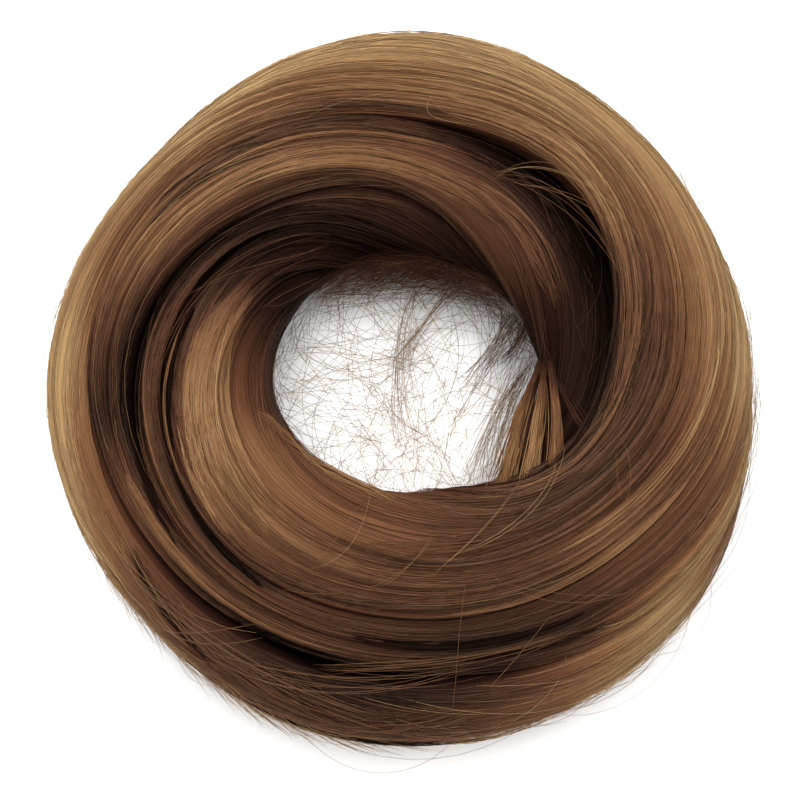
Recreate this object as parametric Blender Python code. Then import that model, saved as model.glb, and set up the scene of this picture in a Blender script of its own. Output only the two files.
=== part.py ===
"""Top knot hairpiece: straight false hair wound in a ring round a hidden elastic band.

Metres, +Z up. The ring lies flat, and its origin is on the surface that it lies on, below the middle of its box.
A place in the wound hair is given by two angles. The turn runs round the ring, anticlockwise from +X seen from
above, and goes on past 360 degrees, because each lock passes most places twice. The angle runs round the ring's
section at that turn: 0 faces outwards, 90 up, 180 into the hole and 270 down.
"""

import math

import bmesh
import bpy
from mathutils import Vector

# Sizes of the ring as it lies
OUTER_RADIUS = 0.0645
HOLE_RADIUS = 0.0240
HEIGHT = 0.0340
SETTLE = 0.0012  # depth of the underside that the surface keeps flat

# The elastic band in the middle of the hair
BAND_THICKNESS = 0.0080
BAND_CLEARANCE = 0.0004

# How the locks lie beside and over each other
LOCK_GAP = 0.0005
LEAN = 12.0  # degrees by which a lock's edge leans over its neighbour's root
LIP_WIDTH = 13.0  # degrees over which a lock's low edge rounds off
LAP = 40.0  # degrees of turn over which one lock's tips lie on the next one's root
TIP_SHARE = 0.14  # thickness of a lock's tips, as a share of the hair there
FULLNESS = 2.2  # exponent of the section's outline: 2 is an ellipse, more is squarer

# Facets
STEP = 10  # degrees of turn between sections
SPOKES = 6  # facets across a lock
BAND_SIDES = 10

# The furrows that part a lock into ribs: how deep each is at the seven points across it, low edge to high edge,
# as shares of the hair's thickness. They swell and fade along the lock.
RIB_SHARES = (0.0, 0.0, 0.085, 0.0, 0.095, 0.0, 0.0)
RIB_SWELLS = 3  # times that a furrow swells and fades in one turn of the ring

# How the ring departs from round, as shares of the sizes above
OUTLINE_COLUMNS = ("turn", "outer", "hole", "height")
OUTLINE = (
    (0, 0.995, 1.03, 0.96),
    (45, 0.975, 0.94, 0.98),
    (90, 1.022, 0.87, 1.00),
    (135, 0.957, 0.93, 0.98),
    (180, 1.003, 0.98, 0.95),
    (225, 1.000, 0.96, 0.96),
    (270, 1.038, 0.96, 1.00),
    (315, 1.030, 1.00, 0.98),
)

# The grooves between the locks. Lip is how far the lock below the groove's angle is dented there, and sink how far
# the lock above it is, as shares of the hair's thickness. Spread is the width of the sink in degrees of the section.
# Each groove closes on itself after two turns of the ring.
GROOVE_COLUMNS = ("turn", "angle", "lip", "sink", "spread")
GROOVES = {
    "rim_edge": (
        (0, 122, 0.04, 0.50, 36),
        (45, 94, 0.03, 0.64, 25),
        (90, 92, 0.04, 0.20, 20),
        (135, 64, 0.06, 0.10, 22),
        (180, 42, 0.06, 0.14, 20),
        (225, 37, 0.06, 0.26, 18),
        (270, 38, 0.06, 0.24, 18),
        (315, 20, 0.06, 0.08, 20),
        (360, -10, 0.08, 0.08, 28),
        (405, -30, 0.08, 0.08, 28),
        (450, -45, 0.08, 0.08, 28),
        (495, -65, 0.08, 0.08, 28),
        (540, -85, 0.08, 0.08, 28),
        (585, -112, 0.08, 0.08, 28),
        (630, -150, 0.08, 0.08, 28),
        (675, -218, 0.06, 0.34, 36),
    ),
    "crown_edge": (
        (0, 213, 0.08, 0.08, 28),
        (45, 176, 0.08, 0.08, 28),
        (90, 142, 0.08, 0.12, 24),
        (135, 118, 0.10, 0.16, 20),
        (180, 76, 0.14, 0.28, 20),
        (225, 62, 0.08, 0.18, 16),
        (270, 57, 0.06, 0.14, 18),
        (315, 43, 0.05, 0.06, 24),
        (360, 12, 0.08, 0.08, 28),
        (405, -6, 0.08, 0.08, 28),
        (450, -20, 0.08, 0.08, 28),
        (495, -40, 0.08, 0.08, 28),
        (540, -62, 0.08, 0.08, 28),
        (585, -85, 0.08, 0.08, 28),
        (630, -108, 0.08, 0.08, 28),
        (675, -128, 0.08, 0.08, 28),
    ),
    "slim_edge": (
        (0, 240, 0.08, 0.08, 28),
        (45, 216, 0.08, 0.08, 28),
        (90, 176, 0.08, 0.12, 30),
        (135, 134, 0.06, 0.34, 28),
        (180, 100, 0.08, 0.24, 20),
        (225, 80, 0.08, 0.18, 16),
        (270, 76, 0.05, 0.04, 20),
        (315, 62, 0.05, 0.04, 24),
        (360, 36, 0.06, 0.05, 28),
        (405, 21, 0.08, 0.06, 28),
        (450, 8, 0.08, 0.08, 28),
        (495, -12, 0.08, 0.08, 28),
        (540, -35, 0.08, 0.08, 28),
        (585, -60, 0.08, 0.08, 28),
        (630, -85, 0.08, 0.08, 28),
        (675, -105, 0.08, 0.08, 28),
    ),
    "sweep_edge": (
        (0, 295, 0.05, 0.05, 28),
        (45, 272, 0.05, 0.05, 28),
        (90, 232, 0.05, 0.05, 28),
        (135, 174, 0.05, 0.05, 28),
        (180, 146, 0.05, 0.10, 24),
        (225, 130, 0.05, 0.05, 28),
        (270, 115, 0.05, 0.04, 28),
        (315, 98, 0.05, 0.04, 28),
        (360, 70, 0.05, 0.04, 28),
        (405, 54, 0.05, 0.05, 28),
        (450, 50, 0.05, 0.05, 28),
        (495, 28, 0.06, 0.05, 28),
        (540, 5, 0.06, 0.05, 28),
        (585, -13, 0.06, 0.06, 28),
        (630, -30, 0.06, 0.06, 28),
        (675, -48, 0.06, 0.06, 28),
    ),
}

# The locks. Each pair is one coil of hair, two turns long: the named lock from its root to its tips, and the
# lock under the ring that carries on from there. A back edge is the groove as it was one turn earlier.
LOCK_COLUMNS = ("name", "low edge", "high edge", "back", "root", "tips")
LOCKS = (
    ("sweep_lock", "slim_edge", "sweep_edge", 0, 0, 590),
    ("rim_lock", "sweep_edge", "rim_edge", 360, 90, 570),
    ("crown_lock", "rim_edge", "crown_edge", 0, -60, 330),
    ("slim_lock", "crown_edge", "slim_edge", 0, 0, 380),
)

# Materials: colour, roughness and metallic value
HAIR_TONES = {
    "sweep_lock": (0.140, 0.068, 0.036),
    "rim_lock": (0.205, 0.110, 0.048),
    "crown_lock": (0.120, 0.058, 0.028),
    "slim_lock": (0.095, 0.045, 0.024),
}
HAIR_ROUGHNESS = 0.42
BAND_COLOUR = (0.030, 0.018, 0.012)
BAND_ROUGHNESS = 0.85

# What follows from the sizes
FULL_TURN = 360
COIL_TURN = 2 * FULL_TURN
BAND_RING_RADIUS = (OUTER_RADIUS + HOLE_RADIUS) / 2
BAND_Z = (HEIGHT - SETTLE) / 2
HALF_HEIGHT = (HEIGHT + SETTLE) / 2
CORE_RADIUS = BAND_THICKNESS / 2 + BAND_CLEARANCE


def periodic(rows, column, turn, period):
    """A smooth curve through one column of a table whose first column is the turn, repeated with that period."""
    turn = turn % period
    count = len(rows)
    after = next((i for i, row in enumerate(rows) if row[0] > turn), count)
    places = [after - 2, after - 1, after, after + 1]
    values = [rows[i % count][column] for i in places]
    start = rows[places[1] % count][0]
    end = rows[places[2] % count][0] or period
    share = (turn - start) / (end - start)
    before, first, second, beyond = values
    slope_in, slope_out = (second - before) / 2, (beyond - first) / 2
    square, cube = share**2, share**3
    return (
        (2 * cube - 3 * square + 1) * first
        + (cube - 2 * square + share) * slope_in
        + (3 * square - 2 * cube) * second
        + (cube - square) * slope_out
    )


def groove_angle(name, turn):
    """The groove's angle round the section. It falls by a full turn while the groove goes twice round the ring."""
    fall = FULL_TURN / COIL_TURN
    level = [(row[0], row[1] + row[0] * fall) for row in GROOVES[name]]
    return periodic(level, 1, turn, COIL_TURN) - turn * fall


def groove_dent(name, side, turn):
    return periodic(GROOVES[name], GROOVE_COLUMNS.index(side), turn, COIL_TURN)


def meridian_point(turn, angle, reach):
    """The point at that angle round the section, at a distance from the band's centreline."""
    out = BAND_RING_RADIUS + reach * math.cos(math.radians(angle))
    up = BAND_Z + reach * math.sin(math.radians(angle))
    around = math.radians(turn)
    return Vector((out * math.cos(around), out * math.sin(around), up))


def outline_reach(turn, angle):
    """How far the hair reaches from the band's centreline at that angle, before the surface flattens it."""
    outer, hole, height = (
        periodic(OUTLINE, OUTLINE_COLUMNS.index(name), turn, FULL_TURN) for name in OUTLINE_COLUMNS[1:]
    )
    cosine, sine = math.cos(math.radians(angle)), math.sin(math.radians(angle))
    outwards = OUTER_RADIUS * outer - BAND_RING_RADIUS
    inwards = BAND_RING_RADIUS - HOLE_RADIUS * hole
    across = outwards if cosine > 0 else inwards
    upwards = HEIGHT * height - BAND_Z if sine > 0 else HALF_HEIGHT
    return (abs(cosine / across) ** FULLNESS + abs(sine / upwards) ** FULLNESS) ** (-1 / FULLNESS)


def flattened(point):
    """The point, kept above the surface that the ring lies on."""
    return Vector((point.x, point.y, max(point.z, 0.0)))


def bell(distance, width):
    return math.exp(-((distance / width) ** 2))


def lap_share(turn, cut):
    """Where two locks that overlap before a cut meet, as a share of the hair's thickness there."""
    along = (turn - (cut - LAP)) / LAP
    return TIP_SHARE + (1 - 2 * TIP_SHARE) * along


def lock_section(low_edge, high_edge, back, start, end, turn):
    """The lock's outer and inner points at that turn, each from its low edge to its high one."""
    low, high = groove_angle(low_edge, turn), groove_angle(high_edge, turn - back)
    sink, spread = (groove_dent(low_edge, side, turn) for side in ("sink", "spread"))
    lip = groove_dent(high_edge, "lip", turn - back)
    outer, inner = [], []
    for spoke in range(SPOKES + 1):
        share = (1 - math.cos(math.pi * spoke / SPOKES)) / 2
        middle = low + share * (high - low)
        half_gap = math.degrees(LOCK_GAP / 2) * (1 - 2 * share)
        top_angle = middle + half_gap / outline_reach(turn, middle)
        root_angle = middle - LEAN + half_gap / CORE_RADIUS
        top = meridian_point(turn, top_angle, outline_reach(turn, top_angle))
        root = meridian_point(turn, root_angle, CORE_RADIUS)
        furrow = RIB_SHARES[spoke] * (1 + math.sin(math.radians(RIB_SWELLS * turn + middle))) / 2
        top_share = 1 - sink * bell(middle - low, spread) - lip * bell(high - middle, LIP_WIDTH) - furrow
        root_share = 0.0
        if turn <= start + LAP:
            top_share = min(top_share, lap_share(turn, start + LAP) - LOCK_GAP / (top - root).length)
        if turn >= end - LAP:
            root_share = lap_share(turn, end)
            top_share = max(top_share, root_share + TIP_SHARE / 2)
        outer.append(flattened(root.lerp(top, top_share)))
        inner.append(root.lerp(top, root_share))
    return outer, inner


def add_facets(mesh, rows):
    """Two triangles for each patch between neighbouring rows of points, cut from its first corner to its last."""
    for here, there in zip(rows, rows[1:]):
        for a, b, c, d in zip(here, here[1:], there, there[1:]):
            mesh.faces.new((a, b, d))
            mesh.faces.new((a, d, c))


def add_wall(mesh, tops, roots, beside):
    """A lock's side wall, each patch cut along the diagonal that lies deeper in the lock, so that the facets of two
    locks that twist past each other never meet. Beside holds the outer points one step further into the lock."""
    for i in range(len(tops) - 1):
        corners = (tops[i], tops[i + 1], roots[i + 1], roots[i])
        inwards = (beside[i].co + beside[i + 1].co) / 2 - (tops[i].co + tops[i + 1].co) / 2
        first, second = (corners[k].co + corners[k + 2].co for k in (0, 1))
        turned = 0 if first.dot(inwards) > second.dot(inwards) else 1
        a, b, c, d = (corners[(k + turned) % 4] for k in range(4))
        mesh.faces.new((a, b, c))
        mesh.faces.new((a, c, d))


def lock_mesh(name, low_edge, high_edge, back, start, end):
    """A closed solid lofted through the lock's sections. Walls that face each other are cut into triangles alike."""
    mesh = bmesh.new()
    outer_rows, inner_rows = [], []
    for turn in range(start, end + 1, STEP):
        outer, inner = lock_section(low_edge, high_edge, back, start, end, turn)
        outer_rows.append([mesh.verts.new(point) for point in outer])
        inner_rows.append([mesh.verts.new(point) for point in inner])
    add_facets(mesh, outer_rows)
    add_facets(mesh, inner_rows)
    for edge, next_in in ((0, 1), (-1, -2)):
        tops, roots, beside = ([row[k] for row in rows] for rows, k in (
            (outer_rows, edge), (inner_rows, edge), (outer_rows, next_in)))
        add_wall(mesh, tops, roots, beside)
    for end_row in (0, -1):
        add_facets(mesh, [outer_rows[end_row], inner_rows[end_row]])
    bmesh.ops.recalc_face_normals(mesh, faces=mesh.faces)
    data = bpy.data.meshes.new(name)
    mesh.to_mesh(data)
    mesh.free()
    return data


def material(name, colour, roughness):
    made = bpy.data.materials.new(name)
    made.use_nodes = True
    shader = made.node_tree.nodes["Principled BSDF"]
    shader.inputs["Base Color"].default_value = (*colour, 1)
    shader.inputs["Roughness"].default_value = roughness
    shader.inputs["Metallic"].default_value = 0
    return made


def add_object(name, data, finish, frame):
    made = bpy.data.objects.new(name, data)
    made.data.materials.append(finish)
    made.data.shade_smooth()
    made.data.set_sharp_from_angle(angle=math.radians(35))
    made.parent = frame
    bpy.context.scene.collection.objects.link(made)
    return made


def build_band(frame):
    """The elastic band, a plain ring that the hair hides."""
    bpy.ops.mesh.primitive_torus_add(
        major_radius=BAND_RING_RADIUS,
        minor_radius=BAND_THICKNESS / 2,
        major_segments=FULL_TURN // STEP,
        minor_segments=BAND_SIDES,
    )
    made = bpy.context.active_object
    made.name = "elastic_band"
    made.location.z = BAND_Z
    made.parent = frame
    made.data.materials.append(material("elastic_band", BAND_COLOUR, BAND_ROUGHNESS))
    made.data.shade_smooth()


def build_locks(frame):
    for name, low_edge, high_edge, back, root, tips in LOCKS:
        finish = material(name, HAIR_TONES[name], HAIR_ROUGHNESS)
        spans = {name: (root, tips), name + "_under": (tips, root + COIL_TURN)}
        for part, (start, end) in spans.items():
            data = lock_mesh(part, low_edge, high_edge, back, start - round(LAP), end)
            add_object(part, data, finish, frame)


def centre_frame(frame):
    """Moves the ring so that the origin is below the middle of its box."""
    points = [v.co for child in frame.children for v in child.data.vertices]
    for axis in (0, 1):
        along = [point[axis] for point in points]
        frame.location[axis] = -(min(along) + max(along)) / 2


def build():
    for old in list(bpy.data.objects):
        bpy.data.objects.remove(old)
    frame = bpy.data.objects.new("ring_frame", None)
    bpy.context.scene.collection.objects.link(frame)
    build_band(frame)
    build_locks(frame)
    centre_frame(frame)


build()
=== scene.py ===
"""Looks of the top knot hairpiece: wound locks of straight false hair, and loose hairs round them.

A place in the wound hair is given as in the part's own script. The turn runs round the ring, anticlockwise
from +X seen from above, and goes on past 360 degrees, because each lock passes every place twice. The angle
runs round the ring's section: 0 faces outwards, 90 up, 180 into the hole and 270 down. Across runs from 0 at
a lock's low edge to 1 at its high edge.
"""

import math

import bpy
import numpy as np
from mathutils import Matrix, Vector


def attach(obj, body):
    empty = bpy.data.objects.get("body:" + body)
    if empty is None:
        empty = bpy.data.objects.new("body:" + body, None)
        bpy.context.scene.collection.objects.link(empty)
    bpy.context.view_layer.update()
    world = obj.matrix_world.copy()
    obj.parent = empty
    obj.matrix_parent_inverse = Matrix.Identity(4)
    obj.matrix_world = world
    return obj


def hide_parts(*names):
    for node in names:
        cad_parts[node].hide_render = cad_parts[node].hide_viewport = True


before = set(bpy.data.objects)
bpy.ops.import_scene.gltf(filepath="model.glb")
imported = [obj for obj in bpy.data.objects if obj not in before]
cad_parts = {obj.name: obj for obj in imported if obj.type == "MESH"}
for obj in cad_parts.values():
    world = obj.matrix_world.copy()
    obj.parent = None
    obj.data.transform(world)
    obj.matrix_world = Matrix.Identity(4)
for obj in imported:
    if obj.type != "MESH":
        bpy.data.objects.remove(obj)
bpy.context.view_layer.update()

MM = 0.001

# The ring's sizes, in metres, as in the part
OUTER_RADIUS = 0.0645
HOLE_RADIUS = 0.0240
HEIGHT = 0.0340
SETTLE = 0.0012
FULLNESS = 2.2
LIP_WIDTH = 13.0
LEAN = 12.0
FULL_TURN = 360.0
COIL_TURN = 720.0
BAND_RING_RADIUS = (OUTER_RADIUS + HOLE_RADIUS) / 2
BAND_Z = (HEIGHT - SETTLE) / 2
HALF_HEIGHT = (HEIGHT + SETTLE) / 2
FRAME_SHIFT = Vector((0.0006, 0.0012, 0.0))  # from the ring's own middle to the middle of its box

OUTLINE_COLUMNS = ("turn", "outer", "hole", "height")
OUTLINE = (
    (0, 0.995, 1.03, 0.96),
    (45, 0.975, 0.94, 0.98),
    (90, 1.022, 0.87, 1.00),
    (135, 0.957, 0.93, 0.98),
    (180, 1.003, 0.98, 0.95),
    (225, 1.000, 0.96, 0.96),
    (270, 1.038, 0.96, 1.00),
    (315, 1.030, 1.00, 0.98),
)

# The grooves between the locks: their angle, and how far the locks on both sides are dented there
HIDDEN = (0.08, 0.08, 28)
SHALLOW = (0.05, 0.05, 28)
GROOVE_COLUMNS = ("turn", "angle", "lip", "sink", "spread")
GROOVES = {
    "rim_edge": (
        (0, 122, 0.04, 0.50, 36),
        (45, 94, 0.03, 0.64, 25),
        (90, 92, 0.04, 0.20, 20),
        (135, 64, 0.06, 0.10, 22),
        (180, 42, 0.06, 0.14, 20),
        (225, 37, 0.06, 0.26, 18),
        (270, 38, 0.06, 0.24, 18),
        (315, 20, 0.06, 0.08, 20),
        (360, -10, *HIDDEN),
        (405, -30, *HIDDEN),
        (450, -45, *HIDDEN),
        (495, -65, *HIDDEN),
        (540, -85, *HIDDEN),
        (585, -112, *HIDDEN),
        (630, -150, *HIDDEN),
        (675, -218, 0.06, 0.34, 36),
    ),
    "crown_edge": (
        (0, 213, *HIDDEN),
        (45, 176, *HIDDEN),
        (90, 142, 0.08, 0.12, 24),
        (135, 118, 0.10, 0.16, 20),
        (180, 76, 0.14, 0.28, 20),
        (225, 62, 0.08, 0.18, 16),
        (270, 57, 0.06, 0.14, 18),
        (315, 43, 0.05, 0.06, 24),
        (360, 12, *HIDDEN),
        (405, -6, *HIDDEN),
        (450, -20, *HIDDEN),
        (495, -40, *HIDDEN),
        (540, -62, *HIDDEN),
        (585, -85, *HIDDEN),
        (630, -108, *HIDDEN),
        (675, -128, *HIDDEN),
    ),
    "slim_edge": (
        (0, 240, *HIDDEN),
        (45, 216, *HIDDEN),
        (90, 176, 0.08, 0.12, 30),
        (135, 134, 0.06, 0.34, 28),
        (180, 100, 0.08, 0.24, 20),
        (225, 80, 0.08, 0.18, 16),
        (270, 76, 0.05, 0.04, 20),
        (315, 62, 0.05, 0.04, 24),
        (360, 36, 0.06, 0.05, 28),
        (405, 21, 0.08, 0.06, 28),
        (450, 8, *HIDDEN),
        (495, -12, *HIDDEN),
        (540, -35, *HIDDEN),
        (585, -60, *HIDDEN),
        (630, -85, *HIDDEN),
        (675, -105, *HIDDEN),
    ),
    "sweep_edge": (
        (0, 295, *SHALLOW),
        (45, 272, *SHALLOW),
        (90, 232, *SHALLOW),
        (135, 174, *SHALLOW),
        (180, 146, 0.05, 0.10, 24),
        (225, 130, *SHALLOW),
        (270, 115, 0.05, 0.04, 28),
        (315, 98, 0.05, 0.04, 28),
        (360, 70, 0.05, 0.04, 28),
        (405, 54, *SHALLOW),
        (450, 50, *SHALLOW),
        (495, 28, 0.06, 0.05, 28),
        (540, 5, 0.06, 0.05, 28),
        (585, -13, 0.06, 0.06, 28),
        (630, -30, 0.06, 0.06, 28),
        (675, -48, 0.06, 0.06, 28),
    ),
}

# The coils of hair, each two turns long. Strips are the flat ribs that a coil parts into, and ribbons are
# flat bundles that lie over them and taper at both ends. Back is how many degrees further back along its
# groove the high edge runs. Columns: name, low edge, high edge, back, strips, strands, ribbons, seed.
COILS = (
    ("sweep_lock", "slim_edge", "sweep_edge", 0, 9, 560, 40, 11),
    ("rim_lock", "sweep_edge", "rim_edge", 360, 11, 740, 52, 23),
    ("crown_lock", "rim_edge", "crown_edge", 0, 9, 560, 40, 37),
    ("slim_lock", "crown_edge", "slim_edge", 0, 4, 280, 19, 41),
)
RIM = 1  # the rim lock's place in that list

# How pale the hair is painted at five places across each coil, in hundredths from nearly black to golden.
# Besides the hair's own tone, the table paints light and shade: painted shadow in the gaps, in the grooves
# and on the hole's wall, painted highlight on lit crests, and a painted golden glow on the outer rim. A
# row's last value goes on to the high edge.
TONE_COLUMNS = ("turn", "low", "low quarter", "middle", "high quarter", "high")
TONES_WITH_PAINTED_LIGHT = {
    "sweep_lock": (
        (0, 30),
        (90, 12),
        (135, 10, 10, 14, 14, 12),
        (150, 8, 12, 22, 18, 12),
        (160, 14, 26, 38, 32, 20),
        (175, 16, 34, 58, 60, 46),
        (184, 12, 38, 66, 70, 58),
        (200, 34, 50, 70, 74, 72),
        (225, 44, 60, 68, 70, 68),
        (240, 46, 54, 60, 60, 58),
        (270, 46, 46, 44, 42, 46),
        (300, 48, 47, 46, 43, 44),
        (315, 62, 68, 64, 54, 44),
        (335, 62, 58, 50, 44, 40),
        (360, 90, 82, 76, 70, 62),
        (405, 94, 92, 88, 84, 80),
        (450, 96, 96, 92, 88, 84),
        (495, 100, 100, 100, 98, 96),
        (540, 96),
        (630, 50),
    ),
    "rim_lock": (
        (0, 30, 30, 30, 35, 40),
        (90, 20, 18, 15),
        (150, 18, 16, 16, 14),
        (180, 52, 46, 32, 20),
        (198, 60, 40, 38, 30),
        (211, 68, 52, 44, 40, 30),
        (225, 68, 62, 52, 40, 30),
        (270, 58, 60, 54, 45, 40),
        (300, 46, 44, 44, 40, 34),
        (315, 44, 42, 42, 34, 20),
        (335, 42, 44, 42, 30, 8),
        (350, 56, 50, 43, 28, 6),
        (360, 62, 54, 46, 30, 8),
        (372, 70, 64, 54, 36, 14),
        (385, 76, 70, 66, 52, 28),
        (405, 84, 82, 78, 72, 60),
        (420, 88, 84, 80, 76, 62),
        (450, 90, 84, 76, 66, 52),
        (470, 92, 86, 72, 60, 52),
        (495, 98, 100, 96, 84, 62),
        (520, 100, 100, 92, 78, 56),
        (540, 100, 100, 98, 95, 80),
        (560, 95, 95, 92, 86, 60),
        (570, 100, 98, 84, 74, 60),
        (585, 100, 100, 76, 54, 44),
        (600, 100, 96, 66, 46, 30),
        (615, 100, 98, 56, 28, 12),
        (630, 100, 100, 66, 36, 12),
        (645, 100, 100, 84, 56, 32),
        (660, 100, 100, 96, 82, 64),
        (675, 100, 100, 100, 100, 96),
    ),
    "crown_lock": (
        (0, 6, 10, 16, 16, 14),
        (20, 3, 7, 24, 24, 18),
        (45, 1, 2, 40, 42, 20),
        (60, 1, 5, 46, 46, 22),
        (72, 3, 28, 46, 46, 28),
        (90, 30, 52, 58, 40, 30),
        (114, 48, 56, 62, 46, 32),
        (135, 52, 66, 76, 54, 28),
        (158, 62, 72, 76, 64, 34),
        (180, 52, 44, 36, 26, 10),
        (192, 26, 20, 18, 16, 6),
        (208, 32, 42, 54, 44, 12),
        (225, 18, 36, 52, 52, 38),
        (241, 10, 22, 50, 52, 44),
        (253, 8, 12, 44, 54, 46),
        (270, 10, 16, 38, 42, 40),
        (285, 22, 16, 14, 14, 16),
        (300, 56, 42, 26, 20, 22),
        (315, 100, 90, 74, 60, 50),
        (335, 100, 94, 84, 70, 60),
        (360, 100),
        (450, 95),
        (540, 50),
        (630, 40),
    ),
    "slim_lock": (
        (0, 15),
        (45, 10),
        (90, 32, 28, 22, 16, 14),
        (119, 32, 26, 18, 12, 8),
        (140, 26, 14, 12, 24, 20),
        (155, 18, 8, 16, 40, 32),
        (166, 14, 6, 20, 46, 36),
        (178, 6, 10, 42, 54, 38),
        (191, 4, 26, 46, 48, 26),
        (207, 8, 36, 48, 44, 12),
        (217, 30, 44, 50, 40, 10),
        (228, 40, 48, 50, 34, 8),
        (238, 44, 52, 50, 22, 12),
        (248, 42, 46, 46, 42, 40),
        (270, 22, 28, 36, 38, 40),
        (282, 10, 12, 22, 34, 38),
        (300, 26, 28, 34, 40, 44),
        (315, 50, 48, 50, 54, 56),
        (335, 56, 54, 54, 56, 58),
        (360, 100, 98, 96, 94, 92),
        (450, 95),
        (540, 80),
        (630, 40),
    ),
}

# Ribbons that stand where the photo shows them, at the first place, midway and at the last. The dark ones
# are painted shade: near-black strands laid in the deep narrow gaps between bundles. Across, half widths and
# tones are in hundredths. Columns: turns, across, half widths, rise, strands, tones.
PLACED = {
    "sweep_lock": (
        ((150, 186, 238), (57, 62, 52), (2, 30, 48), 0.0006, 320, (20, 76, 60)),
        ((164, 184, 206), (26, 15, 10), (3, 5, 2), 0.0006, 26, (6, 2, 5)),
        ((168, 191, 214), (17, 7, 5), (1, 2, 1), 0.0009, 9, (55, 66, 60)),
        ((250, 282, 322), (10, 18, 22), (1, 3, 1), 0.0004, 14, (36, 30, 34)),
        ((584, 612, 650), (84, 92, 90), (4, 7, 4), 0.0006, 36, (90, 100, 90)),
    ),
    "slim_lock": (
        ((138, 172, 208), (38, 20, 2), (20, 15, 4), 0.0005, 60, (14, 4, 2)),
        ((204, 226, 242), (99, 92, 68), (3, 10, 3), 0.0006, 34, (10, 2, 6)),
        ((258, 282, 306), (24, 12, 5), (4, 14, 4), 0.0005, 50, (14, 6, 16)),
    ),
    "crown_lock": (
        ((202, 213, 225), (94, 91, 80), (1, 5, 1), 0.0005, 18, (10, 4, 10)),
        ((203, 226, 262), (58, 66, 62), (5, 12, 6), 0.0007, 60, (56, 66, 58)),
        ((236, 254, 284), (28, 12, 10), (2, 12, 5), 0.0005, 44, (6, 2, 8)),
        ((268, 288, 312), (80, 66, 52), (3, 12, 3), 0.0005, 36, (20, 10, 22)),
        ((122, 141, 162), (44, 32, 27), (1, 2, 1), 0.0005, 10, (34, 26, 34)),
        ((118, 134, 152), (32, 17, 12), (1, 2, 1), 0.0005, 8, (34, 27, 34)),
        ((50, 90, 142), (56, 62, 62), (5, 11, 5), 0.0008, 90, (50, 66, 74)),
        ((16, 44, 84), (42, 50, 56), (4, 7, 4), 0.0007, 50, (22, 54, 58)),
    ),
    "rim_lock": (
        ((575, 587, 601), (99, 84, 66), (2, 7, 2), 0.0005, 22, (26, 12, 24)),
        ((586, 606, 632), (98, 78, 62), (3, 12, 6), 0.0009, 34, (56, 50, 44)),
        ((596, 618, 650), (40, 60, 92), (4, 10, 5), 0.0009, 30, (60, 50, 40)),
        ((430, 452, 478), (90, 93, 96), (1, 2, 1), 0.0005, 10, (36, 28, 36)),
        ((576, 604, 642), (8, 14, 24), (3, 7, 3), 0.0007, 40, (92, 100, 92)),
        ((588, 614, 648), (32, 36, 46), (2, 5, 2), 0.0006, 24, (26, 12, 26)),
        ((592, 624, 660), (20, 30, 50), (2, 5, 2), 0.0010, 24, (80, 90, 76)),
        ((384, 410, 446), (90, 92, 90), (5, 7, 5), 0.0006, 50, (50, 72, 66)),
    ),
}

# How unevenly a coil parts into strips, and how far the strips wander
STRIP_SHARES = (0.6, 1.5)  # narrowest and widest, before they are fitted to the coil
STRIP_TONE_SPREAD = 0.060
STRIP_WANDER = 0.22  # as a share of half a strip
WANDER_WAVES = (1.5, 2.5)  # waves in each turn
STRIP_RISE = 0.00065  # how far a strip's middle stands above its edges
STRIP_CREST = 0.4  # the share of that rise that lies above the lock's smooth surface
STRIP_LIFT = 0.0006  # how far one strip may lie above the next
STRIP_BLEND = 0.00014  # how softly neighbouring strips meet
EDGE_DROP = 0.0012  # how far a lock's edges round off
EDGE_SHARPNESS = 10  # the higher, the nearer to the edge the rounding starts

# Hair
HAIR_RADIUS = 0.000045
HAIR_RADIUS_SHARES = (0.7, 1.25)
TIP_RADIUS = 0.15  # a strand's radius at its tips, as a share of its own
TAPER = 0.10  # how much of a strand tapers at each end
HAIR_FLATNESS = 2.0
STRAND_POINTS = 18
PLACED_POINTS = 15
STRAND_TURNS = (70.0, 170.0)  # shortest and longest strand, in degrees of turn
UNDERSIDE_SHARE = 0.35  # how densely the underside is covered
UNDERSIDE_FROM = -0.35
STRANDS_A_MESH = 1600
RIBBON_STRANDS = (10, 36)
FEWEST_STRANDS = 8  # on top of those
RIBBON_TURNS = (45.0, 130.0)
RIBBON_WIDTHS = (0.03, 0.10)  # half of a ribbon's width, as a share of the lock's
RIBBON_END = 0.2  # its width at both ends, as a share of its middle
RIBBON_SLANT = 0.13  # how far its ends stray across the lock, as a share of the lock's width
RIBBON_WANDER = 0.012
RIBBON_SHADE = 0.11
RIBBON_RISE = 0.0005
RAGGED_ENDS = 0.3  # over how much of its length a ribbon's strands start and end
CLUMPS = 8  # thin bundles across a strip
CLUMP_TONE_SPREAD = 0.035
STRAND_TONE_SPREAD = 0.04
STRAND_SLOPE = 0.14  # how far a strand drifts across its strip, as a share of half the strip
STEEP_STRANDS = 0.2  # the share of strands that drift much more
STEEP_DRIFT = 5.0
STRAND_WANDER = 0.05
PALE_STRANDS = 0.1  # the share of a ribbon's strands that are paler
PALE_TONE = 0.10
END_SINK = 0.0010  # how deep a strand's ends go into the lock
WALL_DEPTH = 0.0095  # how far down the wall under a lock's high edge the hair goes
# Painted shade: the hair on the wall under a high edge is darkened by this much, fully from halfway down
WALL_PAINTED_SHADE = 0.30
WALL_LEAN = 0.6  # the wall's lean, as a share of the part's
WALL_TURNS = (325, 440)  # where a gap shows the rim lock's wall
WALL_STRANDS = 260
WALL_STRAND_TURNS = (30, 80)
WALL_END_SINK = 0.0006
SURFACE_Z = 0.00015
CORE_RADIUS = 0.004  # nearer to the band than this, a lift is turned into an angle as if it were here

# The base under the strands
BASE_STEP = 4
BASE_PITCH = 0.00040
BASE_SINK = 0.00010
BASE_DEPTH = 0.0100
BASE_DARKER = 0.03
WALL_ROWS = 14

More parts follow.
